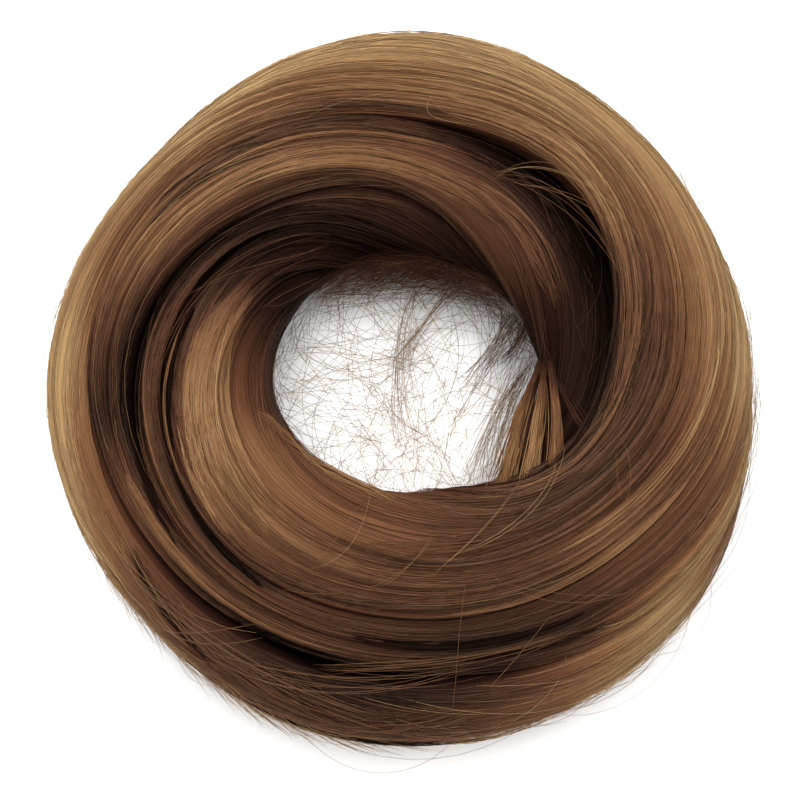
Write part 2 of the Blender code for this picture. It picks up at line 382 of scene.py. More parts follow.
# Colours, linear
TONE_STOPS = (
    (0.00, (0.0012, 0.0006, 0.0005)),
    (0.25, (0.0165, 0.0064, 0.0045)),
    (0.50, (0.0660, 0.0254, 0.0134)),
    (0.75, (0.1500, 0.0720, 0.0320)),
    (1.00, (0.2950, 0.1940, 0.0890)),
)
SHINE = 0.20
DARK_SHINE = 0.03
LOOSE_SHINE = 0.06
DARK_TONE = 0.24  # strands whose tone is below this on the average shine less
SHINE_TINT = (1.0, 0.72, 0.45)
STREAK_SCALE = (5000.0, 50.0, 1.0)  # streaks for each metre across the flow and along it
STREAK_TONE = 0.34
STREAK_HARSHNESS = 0.7
FURROW_STRENGTH = 0.6
FURROW_DEPTH = 0.00015
PATCH_SCALE = 260  # patches for each metre
PATCH_TONE = 0.10
NOISE_DETAIL = 3
BODY_ROUGHNESS = 0.45
HAIR_ROUGHNESS = 0.36
DARK_ROUGHNESS = 0.50
LOOSE_ROUGHNESS = 0.45

# Loose hairs: for each kind, the seed of its random draws and the points along a hair
LOOSE_KINDS = {
    "hole_hairs": (5, 22),
    "hole_arcs": (47, 18),
    "hole_fringe": (29, 10),
    "wisp": (8, 12),
    "arch": (31, 20),
    "stray_hairs": (13, 16),
    "rim_hairs": (17, 13),
}
LOOSE_RADIUS = 0.000038
LOOSE_TIP_RADIUS = 0.3  # as a share of the hair's own
LOOSE_TAPER = 0.15
LOOSE_TONE_SPREAD = 0.07
STANDING = (0.05, 0.03, 1.0)  # upwards, and nearly never along a hair
WALL_OF_HOLE = 1.04  # just inside the hair, as a share of the hole's radius
SURFACE_HAIRS = 52  # hairs that cross each coil
WISP_ROOT = 0.45  # how pale a wisp is at its root, as a share of its tone
ARCH_RADIUS = LOOSE_RADIUS * 1.2
RIM_DEPTH = 0.0012  # how deep in the hair a rim hair starts
TIP_DEPTH = 0.0008  # and one with a free tip
RIM_FALL = 12  # how many degrees of the section a rim hair falls

# Hairs that curl across the hole. Columns: first turn, last turn, hairs, shortest, longest, highest start,
# tone.
HOLE_HAIRS = (
    (70, 200, 30, 0.020, 0.060, 0.012, 0.90),
    (-40, 60, 20, 0.015, 0.045, 0.012, 0.90),
    (225, 315, 66, 0.012, 0.040, 0.006, 0.96),
)

# Short hairs at the wall of the hole. Columns: first turn, last turn, hairs, shortest, longest, lowest,
# highest, tone.
FRINGES = (
    # The first row is darkest: painted shade on the hole's far wall, as well as the hair's own tone
    (36, 104, 300, 0.003, 0.010, 0.009, 0.019, 0.36),
    (30, 150, 150, 0.004, 0.011, 0.009, 0.018, 0.52),
    (5, 50, 110, 0.003, 0.009, 0.008, 0.018, 0.46),
    (140, 200, 50, 0.003, 0.007, 0.006, 0.016, 0.50),
    (200, 330, 70, 0.002, 0.006, 0.004, 0.014, 0.55),
)

# Hairs that bow from one side of the hole towards another. Low ones share their first and last heights.
# Columns: first turns, last turns, bow, last reach as a share of the hole, first heights, last heights,
# hairs, tone.
LOW = ((0.004, 0.016), (0.0005, 0.006))
HOLE_ARCS = (
    ((95, 190), (15, 90), (-0.3, 0.5), (0.2, 1.0), *LOW, 34, 0.92),
    ((120, 215), (40, 110), (-0.4, 0.3), (0.2, 1.0), *LOW, 18, 0.92),
    ((150, 230), (250, 320), (-0.4, 0.4), (0.2, 1.0), *LOW, 22, 0.94),
    ((20, 110), (230, 320), (-0.3, 0.3), (0.2, 1.0), *LOW, 20, 0.94),
    # The last two rows hang under the hole's far edge; their dark tones are painted shade as well as the
    # hair's own tone
    ((34, 84), (90, 142), (-0.26, -0.08), (1.0, 1.05), (0.010, 0.020), (0.008, 0.019), 130, 0.34),
    ((30, 78), (94, 146), (-0.20, 0.02), (1.0, 1.05), (0.009, 0.018), (0.006, 0.016), 100, 0.54),
)

# Bundles of hair in millimetres from the middle: the tuft and the comb at the hole's right side, and thin
# wisps. Columns: start, middle, end, spread of each, hairs, radius, flatness, tone.
WISPS = (
    ((12.0, 21.5, 13.0), (4.0, 13.0, 7.0), (-1.0, 6.0, 2.0), (1.2, 0.8, 2.6), 20, 0.038, 1, 0.92),
    ((5.0, 22.5, 11.0), (0.0, 11.0, 6.0), (0.5, -8.0, 1.5), (1.6, 0.8, 2.0), 14, 0.038, 1, 0.92),
    ((23.8, 12.0, 17.0), (21.4, 8.5, 13.0), (18.0, 5.0, 8.0), (1.2, 1.5, 1.8), 44, 0.045, 1, 0.52),
    ((21.5, 14.0, 15.0), (18.0, 9.0, 9.0), (12.0, 1.0, 4.0), (1.4, 1.4, 2.2), 18, 0.040, 1, 0.64),
    ((25.4, 3.0, 17.0), (21.3, -10.0, 21.2), (17.7, -22.7, 27.6), (0.3, 0.8, 1.3), 90, 0.050, 2, 0.76),
    ((26.0, 2.6, 17.8), (24.2, -11.2, 24.2), (22.0, -23.1, 29.2), (0.3, 0.6, 1.0), 70, 0.050, 2, 0.80),
    ((26.8, 1.8, 20.5), (27.2, -10.2, 27.2), (26.6, -19.2, 30.0), (0.3, 0.5, 0.8), 50, 0.050, 2, 0.66),
    ((26.2, 2.0, 17.0), (24.8, -10.6, 22.2), (22.6, -22.2, 26.2), (0.4, 1.6, 2.4), 90, 0.060, 2, 0.34),
    ((27.2, -1.2, 25.0), (30.0, -8.0, 28.0), (32.5, -13.0, 30.0), (0.4, 0.7, 1.0), 14, 0.045, 1, 0.36),
    ((23.5, 4.0, 15.0), (18.5, -4.5, 8.0), (14.5, -15.5, 2.0), (1.5, 1.8, 3.2), 60, 0.038, 1, 0.94),
)

# Hairs that lie clear of the locks. Columns: turns and angles at three places, arch, hairs, tone.
ARCHES = (
    ((84, 82, 70), (79, 93, 90), 0.0010, 2, 0.90),
    ((63, 50, 25), (121, 97, 85), 0.0030, 3, 0.86),
    ((58, 48, 30), (118, 107, 91), 0.0028, 2, 0.80),
    ((64, 44, 14), (116, 108, 104), 0.0024, 4, 0.58),
    ((284, 283, 279), (96, 66, 26), 0.0008, 1, 0.66),
    ((276, 291, 312), (100, 117, 134), 0.0010, 2, 0.86),
    ((283, 309, 325), (108, 116, 128), 0.0010, 2, 0.84),
    ((262, 271, 280), (92, 108, 124), 0.0010, 2, 0.80),
    ((334, 328, 321), (103, 90, 77), 0.0010, 2, 0.76),
    ((290, 299, 311), (88, 66, 44), 0.0010, 2, 0.76),
    ((299, 290, 284), (60, 46, 37), 0.0010, 1, 0.76),
    ((257, 255, 250), (162, 122, 91), 0.0010, 2, 0.80),
    ((228, 236, 245), (14, 33, 52), 0.0014, 2, 0.72),
    ((256, 276, 300), (46, 54, 46), 0.0010, 9, 0.56),
    ((236, 256, 282), (24, 38, 48), 0.0012, 7, 0.60),
    ((218, 240, 266), (26, 36, 24), 0.0010, 9, 0.62),
    ((168, 146, 122), (112, 137, 152), 0.0014, 2, 0.50),
    ((186, 156, 124), (92, 122, 146), 0.0010, 3, 0.50),
    ((160, 148, 132), (150, 160, 172), 0.0010, 2, 0.52),
)

# Hairs that leave the outer rim. Columns: first turn, last turn, hairs, how far they leave, turns long,
# angles, share with a free tip.
RIM_HAIRS = (
    (0, 360, 400, 0.0018, (8, 30), (-15, 40), 0.5),
    (205, 262, 110, 0.0032, (7, 18), (-15, 15), 1.0),
    (226, 250, 210, 0.0036, (8, 24), (-16, 16), 0.9),
    (180, 235, 40, 0.0045, (6, 18), (-25, 10), 0.7),
    (270, 318, 120, 0.0040, (10, 34), (-30, 6), 0.4),
    (250, 330, 30, 0.0080, (14, 50), (-35, 5), 0.4),
    (20, 66, 80, 0.0045, (6, 20), (-15, 30), 0.8),
)

# Camera and stage
CAMERA_ELEVATION = 74.0
CAMERA_LENS = 110.0
CAMERA_DISTANCE = 0.444
CAMERA_TARGET = (0.0, -0.0030, 0.0130)
FLOOR_SIZE = 6
PAPER_COLOUR = (0.86, 0.86, 0.87)
PAPER_ROUGHNESS = 0.9
WORLD_LIGHT = 0.42
LIT_PLACE = Vector((0, 0, 0.01))
# Columns: name, place, size, power, colour
LIGHTS = (
    ("overhead", (0.00, 0.08, 1.30), 1.50, 38.0, (1.0, 0.99, 0.97)),
    ("window", (-0.45, 0.95, 0.65), 0.60, 13.0, (1.0, 0.97, 0.92)),
    ("front", (0.30, -1.00, 0.35), 0.60, 3.5, (1.0, 0.97, 0.94)),
)


def periodic(rows, column, turn, period):
    """A smooth curve through a column of a table whose first column is the turn, at an array of turns."""
    turns = np.array([row[0] for row in rows] + [period], float)
    values = np.array([row[column] for row in rows], float)
    count = len(values)
    turn = np.mod(turn, period)
    first = np.searchsorted(turns, turn, side="right") - 1
    share = (turn - turns[first]) / (turns[first + 1] - turns[first])
    before, here = values[(first - 1) % count], values[first % count]
    there, beyond = values[(first + 1) % count], values[(first + 2) % count]
    slope_in, slope_out = (there - before) / 2, (beyond - here) / 2
    square, cube = share**2, share**3
    return (
        (2 * cube - 3 * square + 1) * here
        + (cube - 2 * square + share) * slope_in
        + (3 * square - 2 * cube) * there
        + (cube - square) * slope_out
    )


def groove_angle(name, turn):
    """The groove's angle. It falls by a full turn while the groove goes twice round the ring."""
    fall = FULL_TURN / COIL_TURN
    level = [(row[0], row[1] + row[0] * fall) for row in GROOVES[name]]
    return periodic(level, 1, turn, COIL_TURN) - turn * fall


def groove_dent(name, side, turn):
    return periodic(GROOVES[name], GROOVE_COLUMNS.index(side), turn, COIL_TURN)


def outline_reach(turn, angle):
    """How far the hair reaches from the band's centreline at that angle, before the surface flattens it."""
    outer, hole, height = (
        periodic(OUTLINE, OUTLINE_COLUMNS.index(name), turn, FULL_TURN) for name in OUTLINE_COLUMNS[1:]
    )
    cosine, sine = np.cos(np.radians(angle)), np.sin(np.radians(angle))
    outwards, inwards = OUTER_RADIUS * outer - BAND_RING_RADIUS, BAND_RING_RADIUS - HOLE_RADIUS * hole
    across = np.where(cosine > 0, outwards, inwards)
    upwards = np.where(sine > 0, HEIGHT * height - BAND_Z, HALF_HEIGHT)
    return (np.abs(cosine / across) ** FULLNESS + np.abs(sine / upwards) ** FULLNESS) ** (-1 / FULLNESS)


def bell(distance, width):
    return np.exp(-((distance / width) ** 2))


def meridian(turn, angle, reach):
    """Points at that angle round the section and that distance from the band's centreline."""
    out = BAND_RING_RADIUS + reach * np.cos(np.radians(angle))
    up = BAND_Z + reach * np.sin(np.radians(angle))
    around = np.radians(turn)
    points = np.stack((out * np.cos(around), out * np.sin(around), up), -1) + np.array(FRAME_SHIFT)
    points[..., 2] = np.maximum(points[..., 2], SURFACE_Z)
    return points


class Coil:
    """One coil of hair: where its edges run, and how its strips lie across it."""

    def __init__(self, name, low_edge, high_edge, back, strips, strands, ribbons, seed):
        self.name, self.low_edge, self.high_edge, self.back = name, low_edge, high_edge, back
        self.strips, self.strands, self.ribbons = strips, strands, ribbons
        self.random = np.random.default_rng(seed)
        shares = self.random.uniform(*STRIP_SHARES, strips)
        edges = np.concatenate(([0], np.cumsum(shares) / shares.sum()))
        self.middles = (edges[1:] + edges[:-1]) / 2
        self.halves = (edges[1:] - edges[:-1]) / 2
        self.phases = self.random.uniform(0, math.tau, (4, strips))
        self.strip_tones = self.random.normal(0, STRIP_TONE_SPREAD, strips)

    def middle(self, strip, turn):
        """A strip's middle across the coil, which wanders a little along it."""
        slow, fast = WANDER_WAVES
        wave = np.sin(np.radians(turn * slow) + self.phases[0][strip])
        wave = wave + np.sin(np.radians(turn * fast) + self.phases[1][strip])
        return self.middles[strip] + STRIP_WANDER * self.halves[strip] * wave

    def lift(self, strip, turn):
        """How far a strip lies above or below its neighbours."""
        wave = np.sin(np.radians(turn) + self.phases[2][strip])
        wave = wave + np.sin(np.radians(turn * 2) + self.phases[3][strip])
        return STRIP_LIFT * wave / 2

    def relief(self, turn, across):
        """How far the strips stand above the lock's smooth surface. Each is a low round ridge."""
        heights = []
        for strip in range(self.strips):
            within = (across - self.middle(strip, turn)) / self.halves[strip]
            ridge = STRIP_CREST - np.clip(within, -3, 3) ** 2
            heights.append(self.lift(strip, turn) + STRIP_RISE * ridge)
        total = sum(np.exp(height / STRIP_BLEND) for height in heights)
        return np.maximum(STRIP_BLEND * np.log(total), -STRIP_RISE)

    def edges(self, turn):
        return groove_angle(self.low_edge, turn), groove_angle(self.high_edge, turn - self.back)

    def dent(self, turn, across):
        """How far the grooves on both sides dent the lock there, as a share of the hair's thickness."""
        low, high = self.edges(turn)
        angle = low + across * (high - low)
        spread = groove_dent(self.low_edge, "spread", turn)
        sink = groove_dent(self.low_edge, "sink", turn) * bell(angle - low, spread)
        lip = groove_dent(self.high_edge, "lip", turn - self.back) * bell(high - angle, LIP_WIDTH)
        return sink + lip

    # The hair's tone from the table, painted light and shade included
    def tone(self, turn, across):
        rows = TONES_WITH_PAINTED_LIGHT[self.name]
        turns = [row[0] for row in rows] + [COIL_TURN]
        columns = []
        for place in range(1, len(TONE_COLUMNS)):
            values = [row[min(place, len(row) - 1)] / 100 for row in (*rows, rows[0])]
            columns.append(np.interp(np.mod(turn, COIL_TURN), turns, values))
        share = np.clip(across, 0, 1) * (len(columns) - 1)
        return sum(column * np.maximum(0, 1 - np.abs(share - place)) for place, column in enumerate(columns))

    def starts(self, count, length):
        """Turns at which strands of that length start, fewer on the underside, where little shows."""
        turns = np.arange(COIL_TURN)
        low, high = self.edges(turns)
        upwards = np.sin(np.radians((low + high) / 2))
        share = np.where(upwards < UNDERSIDE_FROM, UNDERSIDE_SHARE, 1.0)
        middle = self.random.choice(turns, count, p=share / share.sum()) + self.random.uniform(0, 1, count)
        return middle - length / 2

    def surface(self, turn, across, lift):
        """Points on the coil's outer surface, and their angles."""
        low, high = self.edges(turn)
        angle = low + across * (high - low)
        reach = outline_reach(turn, angle) * (1 - self.dent(turn, across))
        reach = reach + lift - EDGE_DROP * np.clip(np.abs(2 * across - 1), 0, 1.2) ** EDGE_SHARPNESS
        return meridian(turn, angle, reach), angle

    def wall(self, turn, depth, lift):
        """Points on the wall under the high edge, at that depth down it and that far off it."""
        _, high = self.edges(turn)
        reach = outline_reach(turn, high) * (1 - self.dent(turn, 1.0)) - EDGE_DROP - depth
        aside = np.degrees(lift / np.maximum(reach, CORE_RADIUS))
        return meridian(turn, high - LEAN * WALL_LEAN * depth / BASE_DEPTH + aside, reach)


def mesh_object(name, points, quads):
    """A smooth mesh object from arrays of points and of four-cornered faces."""
    mesh = bpy.data.meshes.new(name)
    mesh.vertices.add(len(points))
    mesh.vertices.foreach_set("co", points.astype(np.float32).ravel())
    mesh.loops.add(quads.size)
    mesh.loops.foreach_set("vertex_index", quads.astype(np.int32).ravel())
    mesh.polygons.add(len(quads))
    mesh.polygons.foreach_set("loop_start", np.arange(0, quads.size, 4, dtype=np.int32))
    mesh.polygons.foreach_set("use_smooth", np.ones(len(quads), bool))
    mesh.update(calc_edges=True)
    mesh.validate()
    made = bpy.data.objects.new(name, mesh)
    bpy.context.scene.collection.objects.link(made)
    return made


def add_values(made, name, values):
    attribute = made.data.attributes.new(name, "FLOAT", "POINT")
    attribute.data.foreach_set("value", values.astype(np.float32).ravel())


def strand_mesh(name, paths, radii, tones, ups, flatness=1.0):
    """Three-sided tubes along paths of equally many points. A flatness above 1 makes them wider than they
    are high. The map gives each strand a column of its own."""
    count, points = paths.shape[:2]
    ahead = np.gradient(paths, axis=1)
    ahead /= np.linalg.norm(ahead, axis=-1, keepdims=True) + 1e-12
    side = np.cross(ahead, ups)
    side /= np.linalg.norm(side, axis=-1, keepdims=True) + 1e-12
    up = np.cross(side, ahead)
    rings = []
    for corner in range(3):
        turned = math.tau * corner / 3 + math.pi / 2
        offset = math.cos(turned) * flatness * side + math.sin(turned) * up
        rings.append(paths + offset * radii[..., None])
    vertices = np.stack(rings, 2)
    index = np.arange(count * points * 3).reshape(count, points, 3)
    a, b = index[:, :-1, :], index[:, 1:, :]
    quads = np.stack((a, np.roll(a, -1, 2), np.roll(b, -1, 2), b), -1).reshape(-1, 4)
    made = mesh_object(name, vertices.reshape(-1, 3), quads)
    add_values(made, "tone", np.repeat(tones[..., None], 3, 2))
    column = (np.arange(count)[:, None, None, None] + np.array((0.1, 0.9, 0.9, 0.1))) / count
    row = np.arange(points - 1)[None, :, None, None]
    along = (row + np.array((0.0, 0.0, 1.0, 1.0))) / (points - 1)
    shape = (count, points - 1, 3, 4)
    corners = np.stack((np.broadcast_to(column, shape), np.broadcast_to(along, shape)), -1)
    layer = made.data.uv_layers.new(name="OFBake")
    layer.data.foreach_set("uv", corners.astype(np.float32).ravel())
    return made


def hair_material(name, roughness, shine, streaked):
    """Brown hair whose colour comes from the mesh's tone, painted light and shade included. A streaked one
    has hair-fine lines and furrows along the map named flow, and the other has faint patches, because its
    strands are meshes."""
    made = bpy.data.materials.new(name)
    made.use_nodes = True
    tree = made.node_tree
    shader = tree.nodes["Principled BSDF"]
    tone = tree.nodes.new("ShaderNodeAttribute")
    tone.attribute_name = "tone"
    noise = tree.nodes.new("ShaderNodeTexNoise")
    noise.inputs["Detail"].default_value = NOISE_DETAIL
    if streaked:
        flow = tree.nodes.new("ShaderNodeUVMap")
        flow.uv_map = "flow"
        stretch = tree.nodes.new("ShaderNodeMapping")
        stretch.inputs["Scale"].default_value = STREAK_SCALE
        tree.links.new(flow.outputs["UV"], stretch.inputs["Vector"])
        tree.links.new(stretch.outputs["Vector"], noise.inputs["Vector"])
        noise.inputs["Scale"].default_value = 1
        noise.inputs["Roughness"].default_value = STREAK_HARSHNESS
        bump = tree.nodes.new("ShaderNodeBump")
        bump.inputs["Strength"].default_value = FURROW_STRENGTH
        bump.inputs["Distance"].default_value = FURROW_DEPTH
        tree.links.new(noise.outputs["Fac"], bump.inputs["Height"])
        tree.links.new(bump.outputs["Normal"], shader.inputs["Normal"])
    else:
        place = tree.nodes.new("ShaderNodeTexCoord")
        tree.links.new(place.outputs["Object"], noise.inputs["Vector"])
        noise.inputs["Scale"].default_value = PATCH_SCALE
    reach = STREAK_TONE if streaked else PATCH_TONE
    spread = tree.nodes.new("ShaderNodeMath")
    spread.operation = "MULTIPLY_ADD"
    spread.inputs[1].default_value = reach
    spread.inputs[2].default_value = -reach / 2
    tree.links.new(noise.outputs["Fac"], spread.inputs[0])
    total = tree.nodes.new("ShaderNodeMath")
    total.operation = "ADD"
    tree.links.new(tone.outputs["Fac"], total.inputs[0])
    tree.links.new(spread.outputs[0], total.inputs[1])
    ramp = tree.nodes.new("ShaderNodeValToRGB")
    stops = ramp.color_ramp.elements
    while len(stops) < len(TONE_STOPS):
        stops.new(0.5)
    for stop, (place_on_ramp, colour) in zip(stops, TONE_STOPS):
        stop.position = place_on_ramp
        stop.color = (*colour, 1)
    tree.links.new(total.outputs[0], ramp.inputs["Fac"])
    tree.links.new(ramp.outputs["Color"], shader.inputs["Base Color"])
    shader.inputs["Roughness"].default_value = roughness
    shader.inputs["Specular IOR Level"].default_value = shine
    shader.inputs["Specular Tint"].default_value = (*SHINE_TINT, 1)
    return made


def build_base(coil, material):
    """The body of a coil, closed all round, with the strips on its outer side."""
    turns = np.arange(0, COIL_TURN, BASE_STEP)
    low, high = coil.edges(turns)
    width = np.radians(np.max(high - low)) * HEIGHT / 2
    count = max(12, int(width / BASE_PITCH))
    grid_turn, grid_across = np.meshgrid(turns, np.linspace(0, 1, count), indexing="ij")
    outer, _ = coil.surface(grid_turn, grid_across, coil.relief(grid_turn, grid_across) - BASE_SINK)
    wall_turn, depth = np.meshgrid(turns, np.linspace(0, WALL_DEPTH, WALL_ROWS + 1)[1:], indexing="ij")
    wall = coil.wall(wall_turn, depth, 0.0)
    root_angle = low - LEAN * WALL_LEAN
    root = meridian(turns, root_angle, outline_reach(turns, root_angle) - BASE_DEPTH)
    section = np.concatenate((root[:, None], outer, wall), 1)
    size = section.shape[1]
    index = np.arange(len(turns) * size).reshape(len(turns), size)
    a, b = index, np.roll(index, -1, 0)
    quads = np.stack((a, np.roll(a, -1, 1), np.roll(b, -1, 1), b), -1).reshape(-1, 4)
    made = mesh_object(coil.name + "_base", section.reshape(-1, 3), quads)
    outer_tones = coil.tone(grid_turn, grid_across)
    # Painted shade: the wall darkens with depth under the high edge
    wall_tones = coil.tone(wall_turn, 1.0) - WALL_PAINTED_SHADE * np.clip(depth / WALL_DEPTH * 2, 0, 1)
    tones = np.concatenate((outer_tones[:, :1], outer_tones, wall_tones), 1) - BASE_DARKER
    add_values(made, "tone", tones)
    layer = made.data.uv_layers.new(name="flow")
    step = BAND_RING_RADIUS * math.radians(BASE_STEP)
    corner_turn = np.array((0, 0, 1, 1))
    corner_across = np.array((0, 1, 1, 0))
    along = (np.arange(len(turns))[:, None, None] + corner_turn) * step
    beside = (np.arange(size)[None, :, None] + corner_across) * BASE_PITCH
    shape = (len(turns), size, 4)
    corners = np.stack((np.broadcast_to(beside, shape), np.broadcast_to(along, shape)), -1)
    layer.data.foreach_set("uv", corners.astype(np.float32).ravel())
    made.data.materials.append(material)
    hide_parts(coil.name, coil.name + "_under")
    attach(made, "root")


def through(values, t):
    """A smooth curve through three values, which it meets at 0, a half and 1."""
    first, middle, last = values
    return first * (1 - t) * (1 - 2 * t) + middle * 4 * t * (1 - t) + last * t * (2 * t - 1)


def tapered(t, share=TAPER):
    """1 along a strand, falling to 0 at both its ends."""
    return np.clip(np.minimum(t, 1 - t) / share, 0, 1)


def strand_set(coil, turn, across, lift, tones, s):
    """The paths, radii, tones and upward directions of strands at those places of a coil."""
    across = np.clip(across, 0, 1)
    ends = tapered(s)
    paths, angle = coil.surface(turn, across, coil.relief(turn, across) + lift - END_SINK * (1 - ends) ** 2)
    ups = paths - meridian(turn, angle, np.zeros_like(turn))
    radii = HAIR_RADIUS * coil.random.uniform(*HAIR_RADIUS_SHARES, (len(turn), 1))
    return paths, radii * (TIP_RADIUS + (1 - TIP_RADIUS) * ends), np.clip(tones, 0.01, 1), ups


def strip_strands(coil):
    """The strands that cover a coil, in strips, and in thin clumps within a strip."""
    rng, count = coil.random, coil.strands
    s = np.linspace(0, 1, STRAND_POINTS)[None, :]
    strip = rng.choice(coil.strips, count, p=coil.halves / coil.halves.sum())
    clump = rng.integers(0, CLUMPS, count)
    length = rng.uniform(*STRAND_TURNS, count)
    turn = coil.starts(count, length)[:, None] + s * length[:, None]
    offset = ((clump + 0.5) / CLUMPS * 2 - 1 + rng.normal(0, 0.9 / CLUMPS, count))[:, None]
    slope = rng.normal(0, STRAND_SLOPE, count)[:, None]
    slope = slope * rng.choice((1.0, STEEP_DRIFT), (count, 1), p=(1 - STEEP_STRANDS, STEEP_STRANDS))
    wave = s * rng.uniform(0.5, 1.6, (count, 1)) + rng.uniform(0, 1, (count, 1))
    within = offset + slope * (s - 0.5) * 2 + STRAND_WANDER * np.sin(math.tau * wave)
    across = coil.middle(strip[:, None], turn) + coil.halves[strip][:, None] * within
    lift = 0.00005 * np.sin(strip * 5.1 + clump * 2.3)[:, None] + rng.normal(0.00003, 0.00005, (count, 1))
    clump_tone = rng.normal(0, CLUMP_TONE_SPREAD, (coil.strips, CLUMPS))[strip, clump][:, None]
    tones = coil.tone(turn, across) + coil.strip_tones[strip][:, None] + clump_tone
    tones = tones + rng.normal(0, STRAND_TONE_SPREAD, (count, 1))
    return strand_set(coil, turn, across, lift, tones, s)


def ribbon_strands(coil, turns, across, widths, rise, count, shade, points, tones=None):
    """The strands of one ribbon. Without tones of its own it takes those of the lock, moved by the shade."""
    rng = coil.random
    s = np.linspace(0, 1, points)[None, :]
    first = rng.uniform(0, RAGGED_ENDS, (count, 1)) ** 1.3
    last = 1 - rng.uniform(0, RAGGED_ENDS, (count, 1)) ** 1.3
    t = first + (last - first) * s
    place = rng.uniform(-1, 1, (count, 1))
    wave = s * rng.uniform(0.4, 1.2, (count, 1)) + rng.uniform(0, 1, (count, 1))
    beside = through(across, t) + place * np.abs(through(widths, t))
    beside = beside + RIBBON_WANDER * np.sin(math.tau * wave)
    turn = through(turns, t)
    lift = rise * (1 - place**2) + rng.normal(0.00004, 0.00004, (count, 1))
    shown = coil.tone(turn, np.clip(beside, 0, 1)) + shade if tones is None else through(tones, t)
    shown = shown + rng.normal(0, CLUMP_TONE_SPREAD, (count, 1))
    shown = shown + rng.choice((0.0, PALE_TONE), (count, 1), p=(1 - PALE_STRANDS, PALE_STRANDS))
    return strand_set(coil, turn, beside, lift, shown, s)


def stray_ribbons(coil):
    """Ribbons at random places of a coil."""
    rng = coil.random
    sets = []
    for _ in range(coil.ribbons):
        length = rng.uniform(*RIBBON_TURNS)
        start = coil.starts(1, length)[0]
        middle = rng.uniform(0.04, 0.96)
        first, last = rng.normal(0, RIBBON_SLANT), rng.normal(0, RIBBON_SLANT)
        across = np.clip((middle + first, middle, middle + last), 0, 1)
        width = rng.uniform(*RIBBON_WIDTHS)
        count = int(rng.integers(*RIBBON_STRANDS) * width / RIBBON_WIDTHS[1]) + FEWEST_STRANDS
        turns = (start, start + length / 2, start + length)
        widths = (width * RIBBON_END, width, width * RIBBON_END)
        rise = RIBBON_RISE * rng.uniform(0.3, 1.0)
        shade = rng.normal(0, RIBBON_SHADE)
        sets.append(ribbon_strands(coil, turns, across, widths, rise, count, shade, STRAND_POINTS))
    return sets


def add_strands(coil, name, sets, materials):
    """Joins sets of strands into meshes of at most so many strands each, with the dark strands apart."""
    joined = [np.concatenate(part) for part in zip(*sets)]
    dark = joined[2].mean(1) < DARK_TONE
    for kind, chosen, material in (("", ~dark, materials[0]), ("dark_", dark, materials[1])):
        group = [values[chosen] for values in joined]
        count = len(group[0])
        parts = math.ceil(count / STRANDS_A_MESH)
        for part in range(parts):
            piece = slice(count * part // parts, count * (part + 1) // parts)
            title = f"{coil.name}_{kind}{name}_{part + 1}"
            made = strand_mesh(title, *(values[piece] for values in group), HAIR_FLATNESS)
            made.data.materials.append(material)
            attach(made, "root")


def build_strands(coil, materials):
    add_strands(coil, "hairs", [strip_strands(coil)] + stray_ribbons(coil), materials)
    placed = []
    # The dark placed ribbons are painted shade in the gaps between bundles
    for turns, across, widths, rise, count, tones in PLACED[coil.name]:
        across, widths, tones = (np.array(values) / 100 for values in (across, widths, tones))
        placed.append(ribbon_strands(coil, turns, across, widths, rise, count, 0, PLACED_POINTS, tones))
    add_strands(coil, "placed_hairs", placed, materials)


def build_wall_strands(coil, material):
    """Strands on the wall under a coil's high edge, where a gap beside the coil shows it."""
    rng, count = coil.random, WALL_STRANDS
    s = np.linspace(0, 1, STRAND_POINTS)[None, :]
    turn = rng.uniform(*WALL_TURNS, (count, 1)) + s * rng.uniform(*WALL_STRAND_TURNS, (count, 1))
    depth = rng.uniform(-0.0002, WALL_DEPTH * 0.9, (count, 1)) + s * rng.uniform(-0.002, 0.003, (count, 1))
    depth = np.clip(depth, 0, WALL_DEPTH)
    ends = tapered(s)
    lift = rng.uniform(0, 0.00025, (count, 1)) - WALL_END_SINK * (1 - ends) ** 2
    paths = coil.wall(turn, depth, lift)
    beyond = coil.wall(turn, depth, lift + 0.001)
    radii = HAIR_RADIUS * rng.uniform(0.8, 1.3, (count, 1)) * (TIP_RADIUS + (1 - TIP_RADIUS) * ends)
    # Painted shade: the wall's strands darken with depth under the high edge
    tones = coil.tone(turn, 1.0) - WALL_PAINTED_SHADE * np.clip(depth / WALL_DEPTH * 2, 0, 1)
    tones = tones + rng.normal(0, 0.05, (count, 1))
    made = strand_mesh(coil.name + "_wall_hairs", paths, radii, tones, beyond - paths, HAIR_FLATNESS)
    made.data.materials.append(material)
    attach(made, "root")


def begin(kind):
    """The random numbers of one kind of loose hair, and the places along its hairs from 0 to 1."""
    seed, points = LOOSE_KINDS[kind]
    return np.random.default_rng(seed), np.linspace(0, 1, points)[None, :]


def add_loose(name, paths, radius, tones, material, flatness=1.0):
    """Single hairs along free paths. The tones are one for each hair, or one for each of its points."""
    count, points = paths.shape[:2]
    paths[..., 2] = np.maximum(paths[..., 2], SURFACE_Z)
    ends = tapered(np.linspace(0, 1, points)[None, :], LOOSE_TAPER)
    radii = radius * (LOOSE_TIP_RADIUS + (1 - LOOSE_TIP_RADIUS) * ends) * np.ones((count, 1))
    ups = np.zeros_like(paths) + np.array(STANDING)
    tones = tones if tones.ndim == 2 else np.broadcast_to(tones[:, None], (count, points))
    made = strand_mesh(name, paths, radii, tones, ups, flatness)
    made.data.materials.append(material)
    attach(made, "root")


def round_hole(turn, out, up):
    """Points at that turn, at a share of the hole's radius there and at a height in metres."""
    radius = HOLE_RADIUS * periodic(OUTLINE, OUTLINE_COLUMNS.index("hole"), turn, FULL_TURN) * out
    around = np.radians(turn)
    return np.stack((radius * np.cos(around), radius * np.sin(around), up), -1) + np.array(FRAME_SHIFT)


